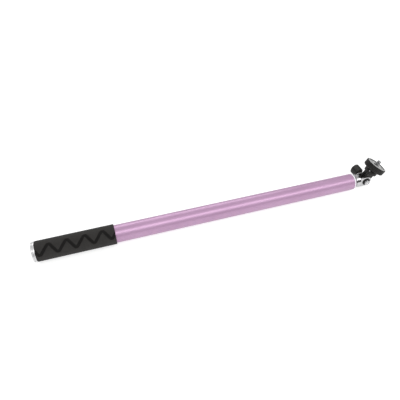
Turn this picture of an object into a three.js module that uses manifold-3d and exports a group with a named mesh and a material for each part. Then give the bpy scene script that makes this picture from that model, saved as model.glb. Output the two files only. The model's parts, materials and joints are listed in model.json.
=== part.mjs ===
// Telescoping hand stick with a tilting camera head.
//
// Three nested tubes slide along +X and lock by a twist. A sheet-metal bracket on the innermost
// tube holds a plastic fork, which tilts on a cross bolt and carries a 1/4 inch camera stud.
//
// Units are millimetres. +X runs from the grip's end cap to the head, +Z is up, and +Y is the
// side of the tilt knob. The origin is the centre of the end cap's flat rear face.

import * as THREE from 'three';
import { mergeVertices } from 'three/addons/utils/BufferGeometryUtils.js';
import Module from 'manifold-3d';

const wasm = await Module();
wasm.setup();

// ---------- driving dimensions ----------

const GAP = 0.3; // left between solids that touch on the real object
const WALL = 0.8; // wall of every tube
const ROUND = 36; // sides of a large turned piece
const SMALL_ROUND = 16; // sides of a small turned piece
const GRIP_SIDES = 24; // the foam grip has flats wide enough to keep the stick from rolling

// tubes, as outer radii
const OUTER_R = 12.5;
const MID_R = 10.6;
const INNER_R = 8.7;

// places along the stick
const CAP_SPLIT = 2.2; // end cap's flange ends, trim ring begins
const GRIP_START = 4.8;
const GRIP_LENGTH = 106;
const OUTER_END = 482;
const BUSH_FLANGE = 2.4; // thickness of the white ring at the outer tube's mouth
const MID_FLANGE = 1.2;
const BUSH_SKIRT = 12; // how far each guide bush reaches into its tube
const MID_LOCK_X = 18; // rear of the middle tube's twist lock
const INNER_LOCK_X = 54;

// grip and end cap
const GRIP_R = 14.2;
const CAP_R = 14;
const CAP_SPIGOT_LENGTH = 10;
const CAP_SPIGOT_WALL = 2;
const CAP_DOME = 1.6; // width of the cap's rounded edge

// twist locks
const LOCK_OFFSET = 0.35; // eccentricity of the lock's spindle and cam
const CAM_LENGTH = 11.7;
const CAM_PLAY = 0.45; // radial play between spindle and cam
const CAM_TO_TUBE = 0.5; // radial play between cam and tube bore when it is loose
const CAM_SLIT = 2;
const CAM_CHAMFER = 0.6;
const LOCK_WASHER_THICKNESS = 1;
const LOCK_SHOULDER = 2;
const LOCK_SPIGOT = 14; // how far the core reaches into its tube
const LOCK_SCREW_R = 1.5;
const MID_PIN_R = 6;
const INNER_PIN_R = 5;
const PAN_HEAD_R = 3.6;

// head
const HINGE_X = 505.8;
const HEAD_TILT = 58; // degrees from the tube's axis up to the camera stud's axis, as it rests
const COLLAR_R = 10.3;
const COLLAR_SPIGOT = 15; // how far the collar reaches into the inner tube
const COLLAR_LENGTH = 7.6;
const SHEET = 1.6; // bracket's sheet
const EAR_R = 8.2;
const EAR_INSIDE = 5.3; // half of the space between the bracket's ears
const FORK_R = 6.7; // rounded end of the fork, and half its width
const FORK_HALF = 5; // half of the fork's thickness along the hinge
const FORK_SLOT = 4.4;
const FORK_SLOT_TOP = 11;
const HUB_BOTTOM = 13.2;
const HUB_TOP = 20.2;
const HUB_R = 10.7;
const WHEEL_BOTTOM = HUB_TOP + GAP;
const WHEEL_TOP = 29.8;
const WHEEL_R = 16.7;
const WHEEL_CHAMFER = 1.2; // height and width of the bevel under the wheel's rim
const WHEEL_EDGE = 0.6; // the same at its top
const WHEEL_RIBS = 24;
const STUD_R = 3.175; // 1/4 inch camera thread
const STUD_TOP = 36.6;
const STUD_BOTTOM = 12;
const PAD_R = 15.4;
const PAD_PROUD = 0.3;

// cross bolt
const BOLT_R = 2.5;
const BOLT_HEAD_R = 4.6;
const BOLT_HEAD_LENGTH = 2.8;
const WASHER_R = 6.2;
const WASHER_THICKNESS = 0.8;
const SPACER_R = 4.8;
const KNOB_START = 13.8;
const KNOB_LENGTH = 15.2;
const KNOB_R = 7; // mean radius of the winged outline
const KNOB_LOBE = 1.2; // height of a wing above it
const KNOB_LOBES = 2;
const BOLT_IN_KNOB = 9; // how far the bolt reaches into the knob
const KNOB_TURN = 58; // degrees of one wing from +X up to +Z

// ---------- dimensions that follow ----------

const OUTER_BORE = OUTER_R - WALL;
const MID_BORE = MID_R - WALL;
const INNER_BORE = INNER_R - WALL;
const MID_END = OUTER_END + BUSH_FLANGE + 2 * GAP;
const INNER_END = MID_END + MID_FLANGE + 2 * GAP;
const COLLAR_START = INNER_END + GAP;
const COLLAR_END = COLLAR_START + COLLAR_LENGTH;
const BRACKET_START = COLLAR_END + GAP;
const BRACKET_FACE = BRACKET_START + SHEET;
const EAR_OUTSIDE = EAR_INSIDE + SHEET;
const BOLT_HOLE_R = BOLT_R + GAP;
const NEAR_WASHER_Y = -(EAR_OUTSIDE + GAP + WASHER_THICKNESS);
const FAR_WASHER_Y = EAR_OUTSIDE + GAP;
const SPACER_Y = FAR_WASHER_Y + WASHER_THICKNESS + GAP;
const BOLT_HEAD_Y = NEAR_WASHER_Y - GAP;
const BOLT_TIP_Y = KNOB_START + BOLT_IN_KNOB;

// ---------- materials ----------

function material(color, roughness, metalness) {
  return new THREE.MeshStandardMaterial({ color, roughness, metalness });
}

const LACQUER = material(0xb586b4, 0.3, 0.55);
const FOAM = material(0x2c2a29, 0.95, 0);
const CHROME = material(0xd8d8da, 0.12, 1);
const STEEL = material(0x9a9a9c, 0.3, 1);
const ALUMINIUM = material(0xc6c7ca, 0.35, 0.9);
const BLACK_PLASTIC = material(0x1f1e1e, 0.55, 0);
const WHITE_PLASTIC = material(0xe9e4ea, 0.4, 0);
const BRASS = material(0xb08d4a, 0.35, 1);
const PAD_RUBBER = material(0xb4b4b3, 0.6, 0);

// ---------- shape helpers ----------

// Merges shared vertices and drops the slivers a lathe leaves where its profile meets the axis.
function closed(geometry) {
  geometry.deleteAttribute('normal');
  geometry.deleteAttribute('uv');
  const merged = mergeVertices(geometry);
  const kept = [];
  const index = merged.index.array;
  for (let i = 0; i < index.length; i += 3) {
    const [a, b, c] = [index[i], index[i + 1], index[i + 2]];
    if (a !== b && b !== c && c !== a) kept.push(a, b, c);
  }
  merged.setIndex(kept);
  return merged;
}

function solid(geometry) {
  const merged = closed(geometry);
  return new wasm.Manifold(
    new wasm.Mesh({
      numProp: 3,
      vertProperties: new Float32Array(merged.attributes.position.array),
      triVerts: new Uint32Array(merged.index.array),
    }),
  );
}

function fromSolid(manifold) {
  const mesh = manifold.getMesh();
  const geometry = new THREE.BufferGeometry();
  geometry.setAttribute('position', new THREE.BufferAttribute(mesh.vertProperties, 3));
  geometry.setIndex(new THREE.BufferAttribute(mesh.triVerts, 1));
  return geometry;
}

function cut(body, ...tools) {
  return fromSolid(tools.reduce((left, tool) => left.subtract(solid(tool)), solid(body)));
}

function join(body, ...others) {
  return fromSolid(others.reduce((sum, other) => sum.add(solid(other)), solid(body)));
}

// A turned piece on the Y axis from [along, radius] points. The outline is closed by itself,
// through the axis if its ends lie there.
function turned(outline, sides = ROUND) {
  const points = outline.map(([along, radius]) => new THREE.Vector2(radius, along));
  if (THREE.ShapeUtils.area(points) < 0) points.reverse();
  const onAxis = points.filter((point) => point.x === 0).length > 0;
  if (onAxis) {
    while (points[0].x !== 0 || points[points.length - 1].x !== 0) points.push(points.shift());
  } else {
    points.push(points[0].clone());
  }
  return closed(new THREE.LatheGeometry(points, sides));
}

// The same, along X, with a flat side down.
function turnedX(outline, sides = ROUND) {
  return turned(outline, sides).rotateZ(-Math.PI / 2).rotateX(Math.PI / sides);
}

// The same, along Z.
function turnedZ(outline, sides = ROUND) {
  return turned(outline, sides).rotateX(Math.PI / 2);
}

function tubeOutline(start, end, inside, outside) {
  return [[start, inside], [start, outside], [end, outside], [end, inside]];
}

function rodOutline(start, end, radius) {
  return [[start, 0], [start, radius], [end, radius], [end, 0]];
}

function box(width, depth, height, x, y, z) {
  return new THREE.BoxGeometry(width, depth, height).translate(x, y, z);
}

function piece(name, geometry, surface) {
  const mesh = new THREE.Mesh(geometry, surface);
  mesh.name = name;
  return mesh;
}

// ---------- handle ----------

function outerTube() {
  return turnedX(tubeOutline(GRIP_START, OUTER_END, OUTER_BORE, OUTER_R));
}

function gripSleeve() {
  const end = GRIP_START + GRIP_LENGTH;
  const edge = 1.2; // softened corners
  const inside = OUTER_R + GAP;
  return turnedX(
    [
      [GRIP_START, inside], [GRIP_START, GRIP_R - edge], [GRIP_START + edge, GRIP_R],
      [end - edge / 2, GRIP_R], [end, GRIP_R - edge / 2], [end, inside],
    ],
    GRIP_SIDES,
  );
}

// Flange with a domed edge, and a hollow spigot pushed into the outer tube.
function endCap() {
  const spigot = OUTER_BORE - GAP;
  const inside = spigot - CAP_SPIGOT_WALL;
  const spigotEnd = GRIP_START + CAP_SPIGOT_LENGTH;
  return turnedX([
    [0, 0], [0, CAP_R - CAP_DOME], [0.3 * CAP_DOME, CAP_R - 0.4 * CAP_DOME],
    [0.8 * CAP_DOME, CAP_R], [CAP_SPLIT, CAP_R],
    [CAP_SPLIT, spigot], [spigotEnd, spigot], [spigotEnd, inside],
    [CAP_SPLIT, inside], [CAP_SPLIT, 0],
  ]);
}

function endRing() {
  const start = CAP_SPLIT + GAP;
  const end = GRIP_START - GAP;
  const radius = CAP_R + 0.1;
  const edge = 0.4;
  return turnedX([
    [start, OUTER_BORE], [start, radius - edge], [start + edge, radius],
    [end, radius], [end, OUTER_BORE],
  ]);
}

// Guide bush: a skirt inside the end of a tube, and a rounded flange over the tube's cut end.
function guideBush(tubeEnd, tubeRadius, innerTubeRadius, flange) {
  const bore = innerTubeRadius + GAP;
  const skirt = tubeRadius - WALL - GAP;
  const start = tubeEnd + GAP;
  const end = start + flange;
  const rim = tubeRadius - 0.1;
  return turnedX([
    [tubeEnd - BUSH_SKIRT, bore], [tubeEnd - BUSH_SKIRT, skirt], [start, skirt],
    [start, rim], [end - 0.5, rim], [end, rim - 0.4], [end, bore],
  ]);
}

// ---------- twist locks ----------

// A lock stands at the rear of a sliding tube. Its spindle carries an eccentric pin, and the
// cam on that pin jams in the bore of the tube outside it when the sliding tube is turned.
function lockSizes(x, outsideBore, tubeRadius, pinRadius) {
  const headLength = 2.2;
  const washerStart = x + headLength + GAP;
  const pinStart = washerStart + LOCK_WASHER_THICKNESS + GAP;
  const camStart = pinStart + GAP;
  const shoulderStart = camStart + CAM_LENGTH + GAP;
  return {
    x, headLength, washerStart, pinStart, camStart, shoulderStart, pinRadius, tubeRadius,
    camRadius: outsideBore - CAM_TO_TUBE,
    shoulderEnd: shoulderStart + LOCK_SHOULDER,
  };
}

function lockCam(lock) {
  const [start, end] = [lock.camStart, lock.camStart + CAM_LENGTH];
  const edgeRadius = lock.camRadius - CAM_CHAMFER;
  const body = turnedX([
    [start, 0], [start, edgeRadius], [start + CAM_CHAMFER, lock.camRadius],
    [end - CAM_CHAMFER, lock.camRadius], [end, edgeRadius], [end, 0],
  ]);
  const hole = turnedX(rodOutline(start - 1, end + 1, lock.pinRadius + CAM_PLAY));
  hole.translate(0, 0, LOCK_OFFSET);
  const middle = (start + end) / 2;
  const slit = box(CAM_LENGTH + 2, CAM_SLIT, lock.camRadius + 1, middle, 0, -lock.camRadius);
  return cut(body, hole, slit);
}

function lockCore(lock) {
  const spigot = lock.tubeRadius - WALL - GAP;
  const shoulder = lock.tubeRadius - 0.2;
  const end = lock.shoulderEnd + LOCK_SPIGOT;
  const lead = 0.8; // chamfer at the spigot's end
  const plug = turnedX([
    [lock.shoulderStart, 0], [lock.shoulderStart, shoulder], [lock.shoulderEnd, shoulder],
    [lock.shoulderEnd, spigot], [end - lead, spigot], [end, spigot - lead], [end, 0],
  ]);
  const pin = turnedX(rodOutline(lock.pinStart, lock.shoulderStart + 1, lock.pinRadius));
  pin.translate(0, 0, LOCK_OFFSET);
  const holeEnd = lock.shoulderEnd + 2;
  const hole = turnedX(rodOutline(lock.pinStart - 1, holeEnd, LOCK_SCREW_R + GAP), SMALL_ROUND);
  hole.translate(0, 0, LOCK_OFFSET);
  return cut(join(plug, pin), hole);
}

function lockWasher(lock) {
  const end = lock.washerStart + LOCK_WASHER_THICKNESS;
  const overlap = 1.6; // how far the washer stands out over the pin
  const outline = tubeOutline(lock.washerStart, end, LOCK_SCREW_R + GAP, lock.pinRadius + overlap);
  return turnedX(outline, SMALL_ROUND).translate(0, 0, LOCK_OFFSET);
}

function lockScrew(lock) {
  const headEnd = lock.x + lock.headLength;
  const dome = 1;
  const screw = turnedX(
    [
      [lock.x, 0], [lock.x, PAN_HEAD_R - dome], [lock.x + dome, PAN_HEAD_R],
      [headEnd, PAN_HEAD_R], [headEnd, LOCK_SCREW_R], [lock.shoulderEnd, LOCK_SCREW_R],
      [lock.shoulderEnd, 0],
    ],
    SMALL_ROUND,
  );
  const slotDepth = 0.8;
  const slotWidth = 0.8;
  const slot = box(2 * slotDepth, slotWidth, 2 * PAN_HEAD_R + 1, lock.x, 0, 0);
  return cut(screw, slot).translate(0, 0, LOCK_OFFSET);
}

function slidingTube(lock, end) {
  return turnedX(tubeOutline(lock.shoulderEnd + GAP, end, lock.tubeRadius - WALL, lock.tubeRadius));
}

// ---------- head end of the inner tube ----------

const SET_SCREW_X = COLLAR_START + 4.4;
const SET_SCREW_R = 0.9;
const SET_SCREW_FOOT = 3.8; // distance of its foot from the tube's axis
const SET_SCREW_PLAY = 0.4; // space under it, and how deep its top is sunk
const SET_SCREW_TURN = -15; // degrees about the tube's axis, from +Z towards +Y
const BRACKET_SCREW_R = 2;
const BRACKET_SCREW_REACH = 12;

function aboutAxis(geometry, degrees) {
  return geometry.rotateX(THREE.MathUtils.degToRad(degrees));
}

function headCollar() {
  const spigot = INNER_BORE - GAP;
  const spigotStart = COLLAR_START - COLLAR_SPIGOT;
  const edge = 0.8;
  const body = turnedX([
    [spigotStart, 0], [spigotStart, spigot - edge], [spigotStart + edge, spigot],
    [COLLAR_START, spigot], [COLLAR_START, COLLAR_R - edge / 2],
    [COLLAR_START + edge / 2, COLLAR_R], [COLLAR_END - edge, COLLAR_R],
    [COLLAR_END, COLLAR_R - edge], [COLLAR_END, 0],
  ]);
  const holeStart = COLLAR_END - BRACKET_SCREW_REACH - GAP;
  const hole = turnedX(rodOutline(holeStart, COLLAR_END + 1, BRACKET_SCREW_R + GAP), SMALL_ROUND);
  const sideHole = turnedZ(
    rodOutline(SET_SCREW_FOOT - SET_SCREW_PLAY, COLLAR_R + 1, SET_SCREW_R + GAP),
    SMALL_ROUND,
  );
  sideHole.translate(SET_SCREW_X, 0, 0);
  return cut(body, hole, aboutAxis(sideHole, SET_SCREW_TURN));
}

function collarSetScrew() {
  const top = COLLAR_R - SET_SCREW_PLAY;
  const screw = turnedZ(rodOutline(SET_SCREW_FOOT, top, SET_SCREW_R), SMALL_ROUND);
  screw.translate(SET_SCREW_X, 0, 0);
  return aboutAxis(screw, SET_SCREW_TURN);
}

// U-shaped sheet: a base on the collar and two round-ended ears beside the fork.
function headBracket() {
  const bend = 2.2; // outside radius of the two bends
  const bendInside = bend - SHEET;
  const insideX = BRACKET_FACE + bendInside; // centres of the inside bend arcs
  const insideY = EAR_INSIDE - bendInside;
  const front = HINGE_X + EAR_R + 1;
  const sheet = new THREE.Shape();
  sheet.moveTo(front, -EAR_OUTSIDE);
  sheet.lineTo(front, -EAR_INSIDE);
  sheet.lineTo(insideX, -EAR_INSIDE);
  sheet.absarc(insideX, -insideY, bendInside, -Math.PI / 2, -Math.PI, true);
  sheet.lineTo(BRACKET_FACE, insideY);
  sheet.absarc(insideX, insideY, bendInside, Math.PI, Math.PI / 2, true);
  sheet.lineTo(front, EAR_INSIDE);
  sheet.lineTo(front, EAR_OUTSIDE);
  sheet.absarc(BRACKET_START + bend, EAR_OUTSIDE - bend, bend, Math.PI / 2, Math.PI, false);
  sheet.absarc(BRACKET_START + bend, -EAR_OUTSIDE + bend, bend, Math.PI, 1.5 * Math.PI, false);
  sheet.closePath();
  const strip = new THREE.ExtrudeGeometry(sheet, {
    depth: 2 * EAR_R + 2,
    bevelEnabled: false,
    curveSegments: 4,
  });
  strip.translate(0, 0, -EAR_R - 1);

  const side = new THREE.Shape();
  side.moveTo(BRACKET_START - 1, -EAR_R);
  side.lineTo(HINGE_X, -EAR_R);
  side.absarc(HINGE_X, 0, EAR_R, -Math.PI / 2, Math.PI / 2, false);
  side.lineTo(BRACKET_START - 1, EAR_R);
  side.closePath();
  const width = 2 * EAR_OUTSIDE + 2;
  const outline = new THREE.ExtrudeGeometry(side, {
    depth: width,
    bevelEnabled: false,
    curveSegments: 14,
  });
  outline.rotateX(Math.PI / 2).translate(0, width / 2, 0);

  const shaped = fromSolid(solid(strip).intersect(solid(outline)));
  const boltHole = turned(rodOutline(-EAR_OUTSIDE - 1, EAR_OUTSIDE + 1, BOLT_HOLE_R), SMALL_ROUND);
  boltHole.translate(HINGE_X, 0, 0);
  const holeRadius = BRACKET_SCREW_R + GAP;
  const baseHole = turnedX(rodOutline(BRACKET_START - 1, BRACKET_FACE + 1, holeRadius), SMALL_ROUND);
  return cut(shaped, boltHole, baseHole);
}

function bracketScrew() {
  const headStart = BRACKET_FACE + GAP;
  const headEnd = HINGE_X - FORK_R - GAP - 0.1;
  const tip = COLLAR_END - BRACKET_SCREW_REACH;
  const edge = 0.5;
  return turnedX(
    [
      [tip, 0], [tip, BRACKET_SCREW_R], [headStart, BRACKET_SCREW_R], [headStart, PAN_HEAD_R],
      [headEnd - edge, PAN_HEAD_R], [headEnd, PAN_HEAD_R - edge], [headEnd, 0],
    ],
    SMALL_ROUND,
  );
}

function onHinge(geometry) {
  return geometry.translate(HINGE_X, 0, 0);
}

function hingeBolt() {
  const hexSides = 6;
  const edge = 0.5;
  const headEnd = BOLT_HEAD_Y - BOLT_HEAD_LENGTH;
  const head = turned(
    [
      [headEnd, 0], [headEnd, BOLT_HEAD_R - edge], [headEnd + edge, BOLT_HEAD_R],
      [BOLT_HEAD_Y, BOLT_HEAD_R], [BOLT_HEAD_Y, 0],
    ],
    hexSides,
  );
  const shank = turned(rodOutline(BOLT_HEAD_Y - 1, BOLT_TIP_Y, BOLT_R), SMALL_ROUND);
  return onHinge(join(head, shank));
}

function hingeWasher(start) {
  const outline = tubeOutline(start, start + WASHER_THICKNESS, BOLT_HOLE_R, WASHER_R);
  return onHinge(turned(outline, SMALL_ROUND));
}

function knobSpacer() {
  const end = KNOB_START - GAP;
  const outline = [
    [SPACER_Y, BOLT_HOLE_R], [SPACER_Y, SPACER_R], [end - 1, SPACER_R],
    [end, SPACER_R - 0.5], [end, BOLT_HOLE_R],
  ];
  return onHinge(turned(outline, SMALL_ROUND));
}

// ---------- tilt knob ----------

const INSERT_R = 3.8;
const INSERT_END = KNOB_START + BOLT_IN_KNOB + 0.6;

function wingedOutline() {
  const steps = 24;
  const turn = THREE.MathUtils.degToRad(KNOB_TURN);
  const points = [];
  for (let i = 0; i < steps; i += 1) {
    const angle = (2 * Math.PI * i) / steps;
    const radius = KNOB_R + KNOB_LOBE * Math.cos(KNOB_LOBES * (angle + turn));
    points.push(new THREE.Vector2(radius * Math.cos(angle), radius * Math.sin(angle)));
  }
  return new THREE.Shape(points);
}

function tiltKnob() {
  const bevel = 0.9;
  const body = new THREE.ExtrudeGeometry(wingedOutline(), {
    depth: KNOB_LENGTH - 2 * bevel,
    bevelThickness: bevel,
    bevelSize: bevel,
    bevelOffset: -bevel,
    bevelSegments: 2,
  });
  // The extrusion runs along Z. This turn lays it along +Y.
  body.rotateX(-Math.PI / 2).translate(0, KNOB_START + bevel, 0);
  const pocket = turned(rodOutline(KNOB_START - 1, INSERT_END + GAP, INSERT_R + GAP), SMALL_ROUND);
  return onHinge(cut(body, pocket));
}

function knobInsert() {
  return onHinge(turned(tubeOutline(KNOB_START + GAP, INSERT_END, BOLT_HOLE_R, INSERT_R), SMALL_ROUND));
}

// ---------- head: modelled upright on the hinge, with +Z along the camera stud ----------

const STUD_HOLE_R = STUD_R + GAP;
const PIN_R = 1;
const PIN_HEIGHT = 17.6;
const PIN_TURN = 151; // degrees about the stud, from +X
const PIN_REACH = 6; // how far the pin runs past the stud's axis

function alongPin(start, end, radius) {
  const rod = turnedX(rodOutline(start, end, radius), SMALL_ROUND);
  return rod.translate(0, 0, PIN_HEIGHT).rotateZ(THREE.MathUtils.degToRad(-PIN_TURN));
}

function tiltFork() {
  const neckTop = HUB_BOTTOM + 1;
  const neck = new THREE.Shape();
  neck.moveTo(FORK_R, neckTop);
  neck.lineTo(-FORK_R, neckTop);
  neck.lineTo(-FORK_R, 0);
  neck.absarc(0, 0, FORK_R, Math.PI, 2 * Math.PI, false);
  neck.closePath();
  const body = new THREE.ExtrudeGeometry(neck, {
    depth: 2 * FORK_HALF,
    bevelEnabled: false,
    curveSegments: 12,
  });
  body.rotateX(Math.PI / 2).translate(0, FORK_HALF, 0);
  const hub = turnedZ([
    [HUB_BOTTOM - 1.5, 0], [HUB_BOTTOM - 1.5, 6], [HUB_BOTTOM, 9], [HUB_BOTTOM + 1.2, HUB_R - 0.3],
    [HUB_BOTTOM + 2.8, HUB_R], [HUB_BOTTOM + 4.8, HUB_R - 0.3], [HUB_TOP, HUB_R - 1.6], [HUB_TOP, 0],
  ]);
  const slotBottom = -FORK_R - 1;
  const slotHeight = FORK_SLOT_TOP - slotBottom;
  const slot = box(2 * FORK_R + 2, FORK_SLOT, slotHeight, 0, 0, slotBottom + slotHeight / 2);
  const boltHole = turned(rodOutline(-FORK_HALF - 1, FORK_HALF + 1, BOLT_HOLE_R), SMALL_ROUND);
  const studHole = turnedZ(rodOutline(STUD_BOTTOM - GAP, HUB_TOP + 1, STUD_HOLE_R), SMALL_ROUND);
  const pinHole = alongPin(-PIN_REACH - GAP, HUB_R + 1, PIN_R + GAP);
  return cut(join(body, hub), slot, boltHole, studHole, pinHole);
}

function studScrew() {
  const lead = 0.7; // chamfer at the stud's tip
  const shank = turnedZ(
    [
      [STUD_BOTTOM, 0], [STUD_BOTTOM, STUD_R], [STUD_TOP - lead, STUD_R],
      [STUD_TOP, STUD_R - lead], [STUD_TOP, 0],
    ],
    SMALL_ROUND,
  );
  return cut(shank, alongPin(-PIN_REACH, PIN_REACH, PIN_R + GAP));
}

function studPin() {
  const sunk = 0.1;
  return alongPin(-PIN_REACH, HUB_R - sunk, PIN_R);
}

// ---------- lock wheel, which turns on the stud and clamps the camera ----------

const PAD_RECESS = 2.2;
const PAD_RIM = 12.9; // inner radius of the pad's raised outer ring, which touches the camera
const PAD_DISH = 1.1; // depth of the pad inside that ring
const PAD_BORE = 4.6;
const NOTCH_DEPTH = 0.8;
const NOTCH_WIDTH = 0.9;
const NOTCH_HEIGHT = 5;

function lockWheel() {
  const rimBottom = WHEEL_BOTTOM + WHEEL_CHAMFER;
  const rimTop = WHEEL_TOP - WHEEL_EDGE;
  const body = turnedZ(
    [
      [WHEEL_BOTTOM, 0], [WHEEL_BOTTOM, WHEEL_R - WHEEL_CHAMFER], [rimBottom, WHEEL_R],
      [rimTop, WHEEL_R], [WHEEL_TOP, WHEEL_R - WHEEL_EDGE], [WHEEL_TOP, 0],
    ],
    2 * WHEEL_RIBS,
  );
  const notches = [];
  for (let i = 0; i < WHEEL_RIBS; i += 1) {
    const angle = (2 * Math.PI * i) / WHEEL_RIBS;
    const notch = box(NOTCH_DEPTH, NOTCH_WIDTH, NOTCH_HEIGHT, WHEEL_R, 0, (rimBottom + rimTop) / 2);
    notches.push(notch.rotateZ(angle));
  }
  const bore = turnedZ(rodOutline(WHEEL_BOTTOM - 1, WHEEL_TOP + 1, STUD_HOLE_R), SMALL_ROUND);
  const recess = turnedZ(
    tubeOutline(WHEEL_TOP - PAD_RECESS, WHEEL_TOP + 1, PAD_BORE - GAP, PAD_R + GAP),
  );
  return cut(body, bore, recess, ...notches);
}

function wheelPad() {
  const start = WHEEL_TOP - PAD_RECESS + GAP;
  const top = WHEEL_TOP + PAD_PROUD;
  return turnedZ([
    [start, PAD_BORE], [start, PAD_R], [top, PAD_R], [top, PAD_RIM],
    [top - PAD_DISH, PAD_RIM], [top - PAD_DISH, PAD_BORE],
  ]);
}

// ---------- assembly ----------

const midLock = lockSizes(MID_LOCK_X, OUTER_BORE, MID_R, MID_PIN_R);
const innerLock = lockSizes(INNER_LOCK_X, MID_BORE, INNER_R, INNER_PIN_R);

const handle = new THREE.Group();
handle.add(
  piece('outer_tube', outerTube(), LACQUER),
  piece('grip_sleeve', gripSleeve(), FOAM),
  piece('end_cap', endCap(), CHROME),
  piece('end_ring', endRing(), CHROME),
  piece('mouth_bush', guideBush(OUTER_END, OUTER_R, MID_R, BUSH_FLANGE), WHITE_PLASTIC),
);

const midStage = new THREE.Group();
midStage.add(
  piece('mid_lock_cam', lockCam(midLock), BLACK_PLASTIC),
  piece('mid_lock_core', lockCore(midLock), BLACK_PLASTIC),
  piece('mid_lock_washer', lockWasher(midLock), STEEL),
  piece('mid_lock_screw', lockScrew(midLock), STEEL),
  piece('mid_tube', slidingTube(midLock, MID_END), ALUMINIUM),
  piece('mid_bush', guideBush(MID_END, MID_R, INNER_R, MID_FLANGE), BLACK_PLASTIC),
);

const innerStage = new THREE.Group();
innerStage.add(
  piece('inner_lock_cam', lockCam(innerLock), BLACK_PLASTIC),
  piece('inner_lock_core', lockCore(innerLock), BLACK_PLASTIC),
  piece('inner_lock_washer', lockWasher(innerLock), STEEL),
  piece('inner_lock_screw', lockScrew(innerLock), STEEL),
  piece('inner_tube', slidingTube(innerLock, INNER_END), ALUMINIUM),
  piece('head_collar', headCollar(), CHROME),
  piece('collar_set_screw', collarSetScrew(), STEEL),
  piece('head_bracket', headBracket(), CHROME),
  piece('bracket_screw', bracketScrew(), STEEL),
  piece('hinge_bolt', hingeBolt(), CHROME),
  piece('near_washer', hingeWasher(NEAR_WASHER_Y), BLACK_PLASTIC),
  piece('far_washer', hingeWasher(FAR_WASHER_Y), BLACK_PLASTIC),
  piece('knob_spacer', knobSpacer(), BLACK_PLASTIC),
);

const knob = new THREE.Group();
knob.add(
  piece('tilt_knob', tiltKnob(), BLACK_PLASTIC),
  piece('knob_insert', knobInsert(), BRASS),
);

const head = new THREE.Group();
head.position.set(HINGE_X, 0, 0);
head.rotation.y = THREE.MathUtils.degToRad(90 - HEAD_TILT);
head.add(
  piece('tilt_fork', tiltFork(), BLACK_PLASTIC),
  piece('stud_screw', studScrew(), STEEL),
  piece('stud_pin', studPin(), STEEL),
  piece('lock_wheel', lockWheel(), BLACK_PLASTIC),
  piece('wheel_pad', wheelPad(), PAD_RUBBER),
);

const stick = new THREE.Group();
stick.add(handle, midStage, innerStage, knob, head);

export default stick;
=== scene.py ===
"""Looks of the telescoping hand stick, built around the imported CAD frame.

Shapes are written in millimetres in the place where they are made and turned to metres when
their mesh is built. Turned pieces are outlines of (along, radius, corner) points.
"""

import json
import math

import bmesh
import bpy
import numpy as np
from mathutils import Matrix, Vector


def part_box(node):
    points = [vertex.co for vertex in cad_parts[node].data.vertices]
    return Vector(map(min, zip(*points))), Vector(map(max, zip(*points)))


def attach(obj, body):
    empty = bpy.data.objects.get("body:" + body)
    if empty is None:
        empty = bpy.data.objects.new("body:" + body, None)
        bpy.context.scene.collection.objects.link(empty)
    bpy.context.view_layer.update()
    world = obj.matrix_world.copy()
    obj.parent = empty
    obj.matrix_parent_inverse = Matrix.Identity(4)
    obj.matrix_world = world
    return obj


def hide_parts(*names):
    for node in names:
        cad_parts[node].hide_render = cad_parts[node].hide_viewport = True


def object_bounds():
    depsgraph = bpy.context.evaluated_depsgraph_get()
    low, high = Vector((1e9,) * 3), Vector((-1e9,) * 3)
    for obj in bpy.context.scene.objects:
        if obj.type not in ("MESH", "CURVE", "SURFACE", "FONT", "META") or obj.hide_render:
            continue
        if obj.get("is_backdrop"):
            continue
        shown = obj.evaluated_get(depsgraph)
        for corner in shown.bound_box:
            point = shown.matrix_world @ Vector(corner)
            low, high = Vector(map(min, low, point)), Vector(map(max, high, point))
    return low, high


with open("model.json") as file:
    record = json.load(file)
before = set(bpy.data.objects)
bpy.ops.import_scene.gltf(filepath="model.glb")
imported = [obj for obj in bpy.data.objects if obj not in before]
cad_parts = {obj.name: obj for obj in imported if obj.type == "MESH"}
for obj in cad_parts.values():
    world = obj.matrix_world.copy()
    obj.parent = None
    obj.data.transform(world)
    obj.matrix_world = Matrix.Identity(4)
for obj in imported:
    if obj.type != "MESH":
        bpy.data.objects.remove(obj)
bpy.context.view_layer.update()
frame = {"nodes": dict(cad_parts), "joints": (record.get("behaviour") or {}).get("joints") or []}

# ---------- places and sizes, read from the frame ----------

MM = 0.001
TURN = 2 * math.pi


def box_mm(node):
    """A CAD node's box in millimetres, as (low, high)."""
    low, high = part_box(node)
    return low / MM, high / MM


def joint(name):
    return next(j for j in frame["joints"] if j["name"] == name)


def x_span(node):
    low, high = box_mm(node)
    return low.x, high.x


def y_span(node):
    low, high = box_mm(node)
    return low.y, high.y


HINGE = Vector(joint("head_tilt")["pos_m"])
STUD_AXIS = Vector(joint("wheel_turn")["axis"])
TUBE_START, TUBE_END = x_span("outer_tube")
GRIP_START, GRIP_END = x_span("grip_sleeve")
CAP_START = x_span("end_cap")[0]
RING_START, RING_END = x_span("end_ring")
BUSH_END = x_span("mouth_bush")[1]
MID_START, MID_END = x_span("mid_tube")
MID_BUSH_END = x_span("mid_bush")[1]
INNER_START, INNER_END = x_span("inner_tube")
COLLAR_END = x_span("head_collar")[1]
BRACKET_START = x_span("head_bracket")[0]
KNOB_START, KNOB_END = y_span("tilt_knob")
SPACER_START, SPACER_END = y_span("knob_spacer")
BOLT_START, BOLT_END = y_span("hinge_bolt")

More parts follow.
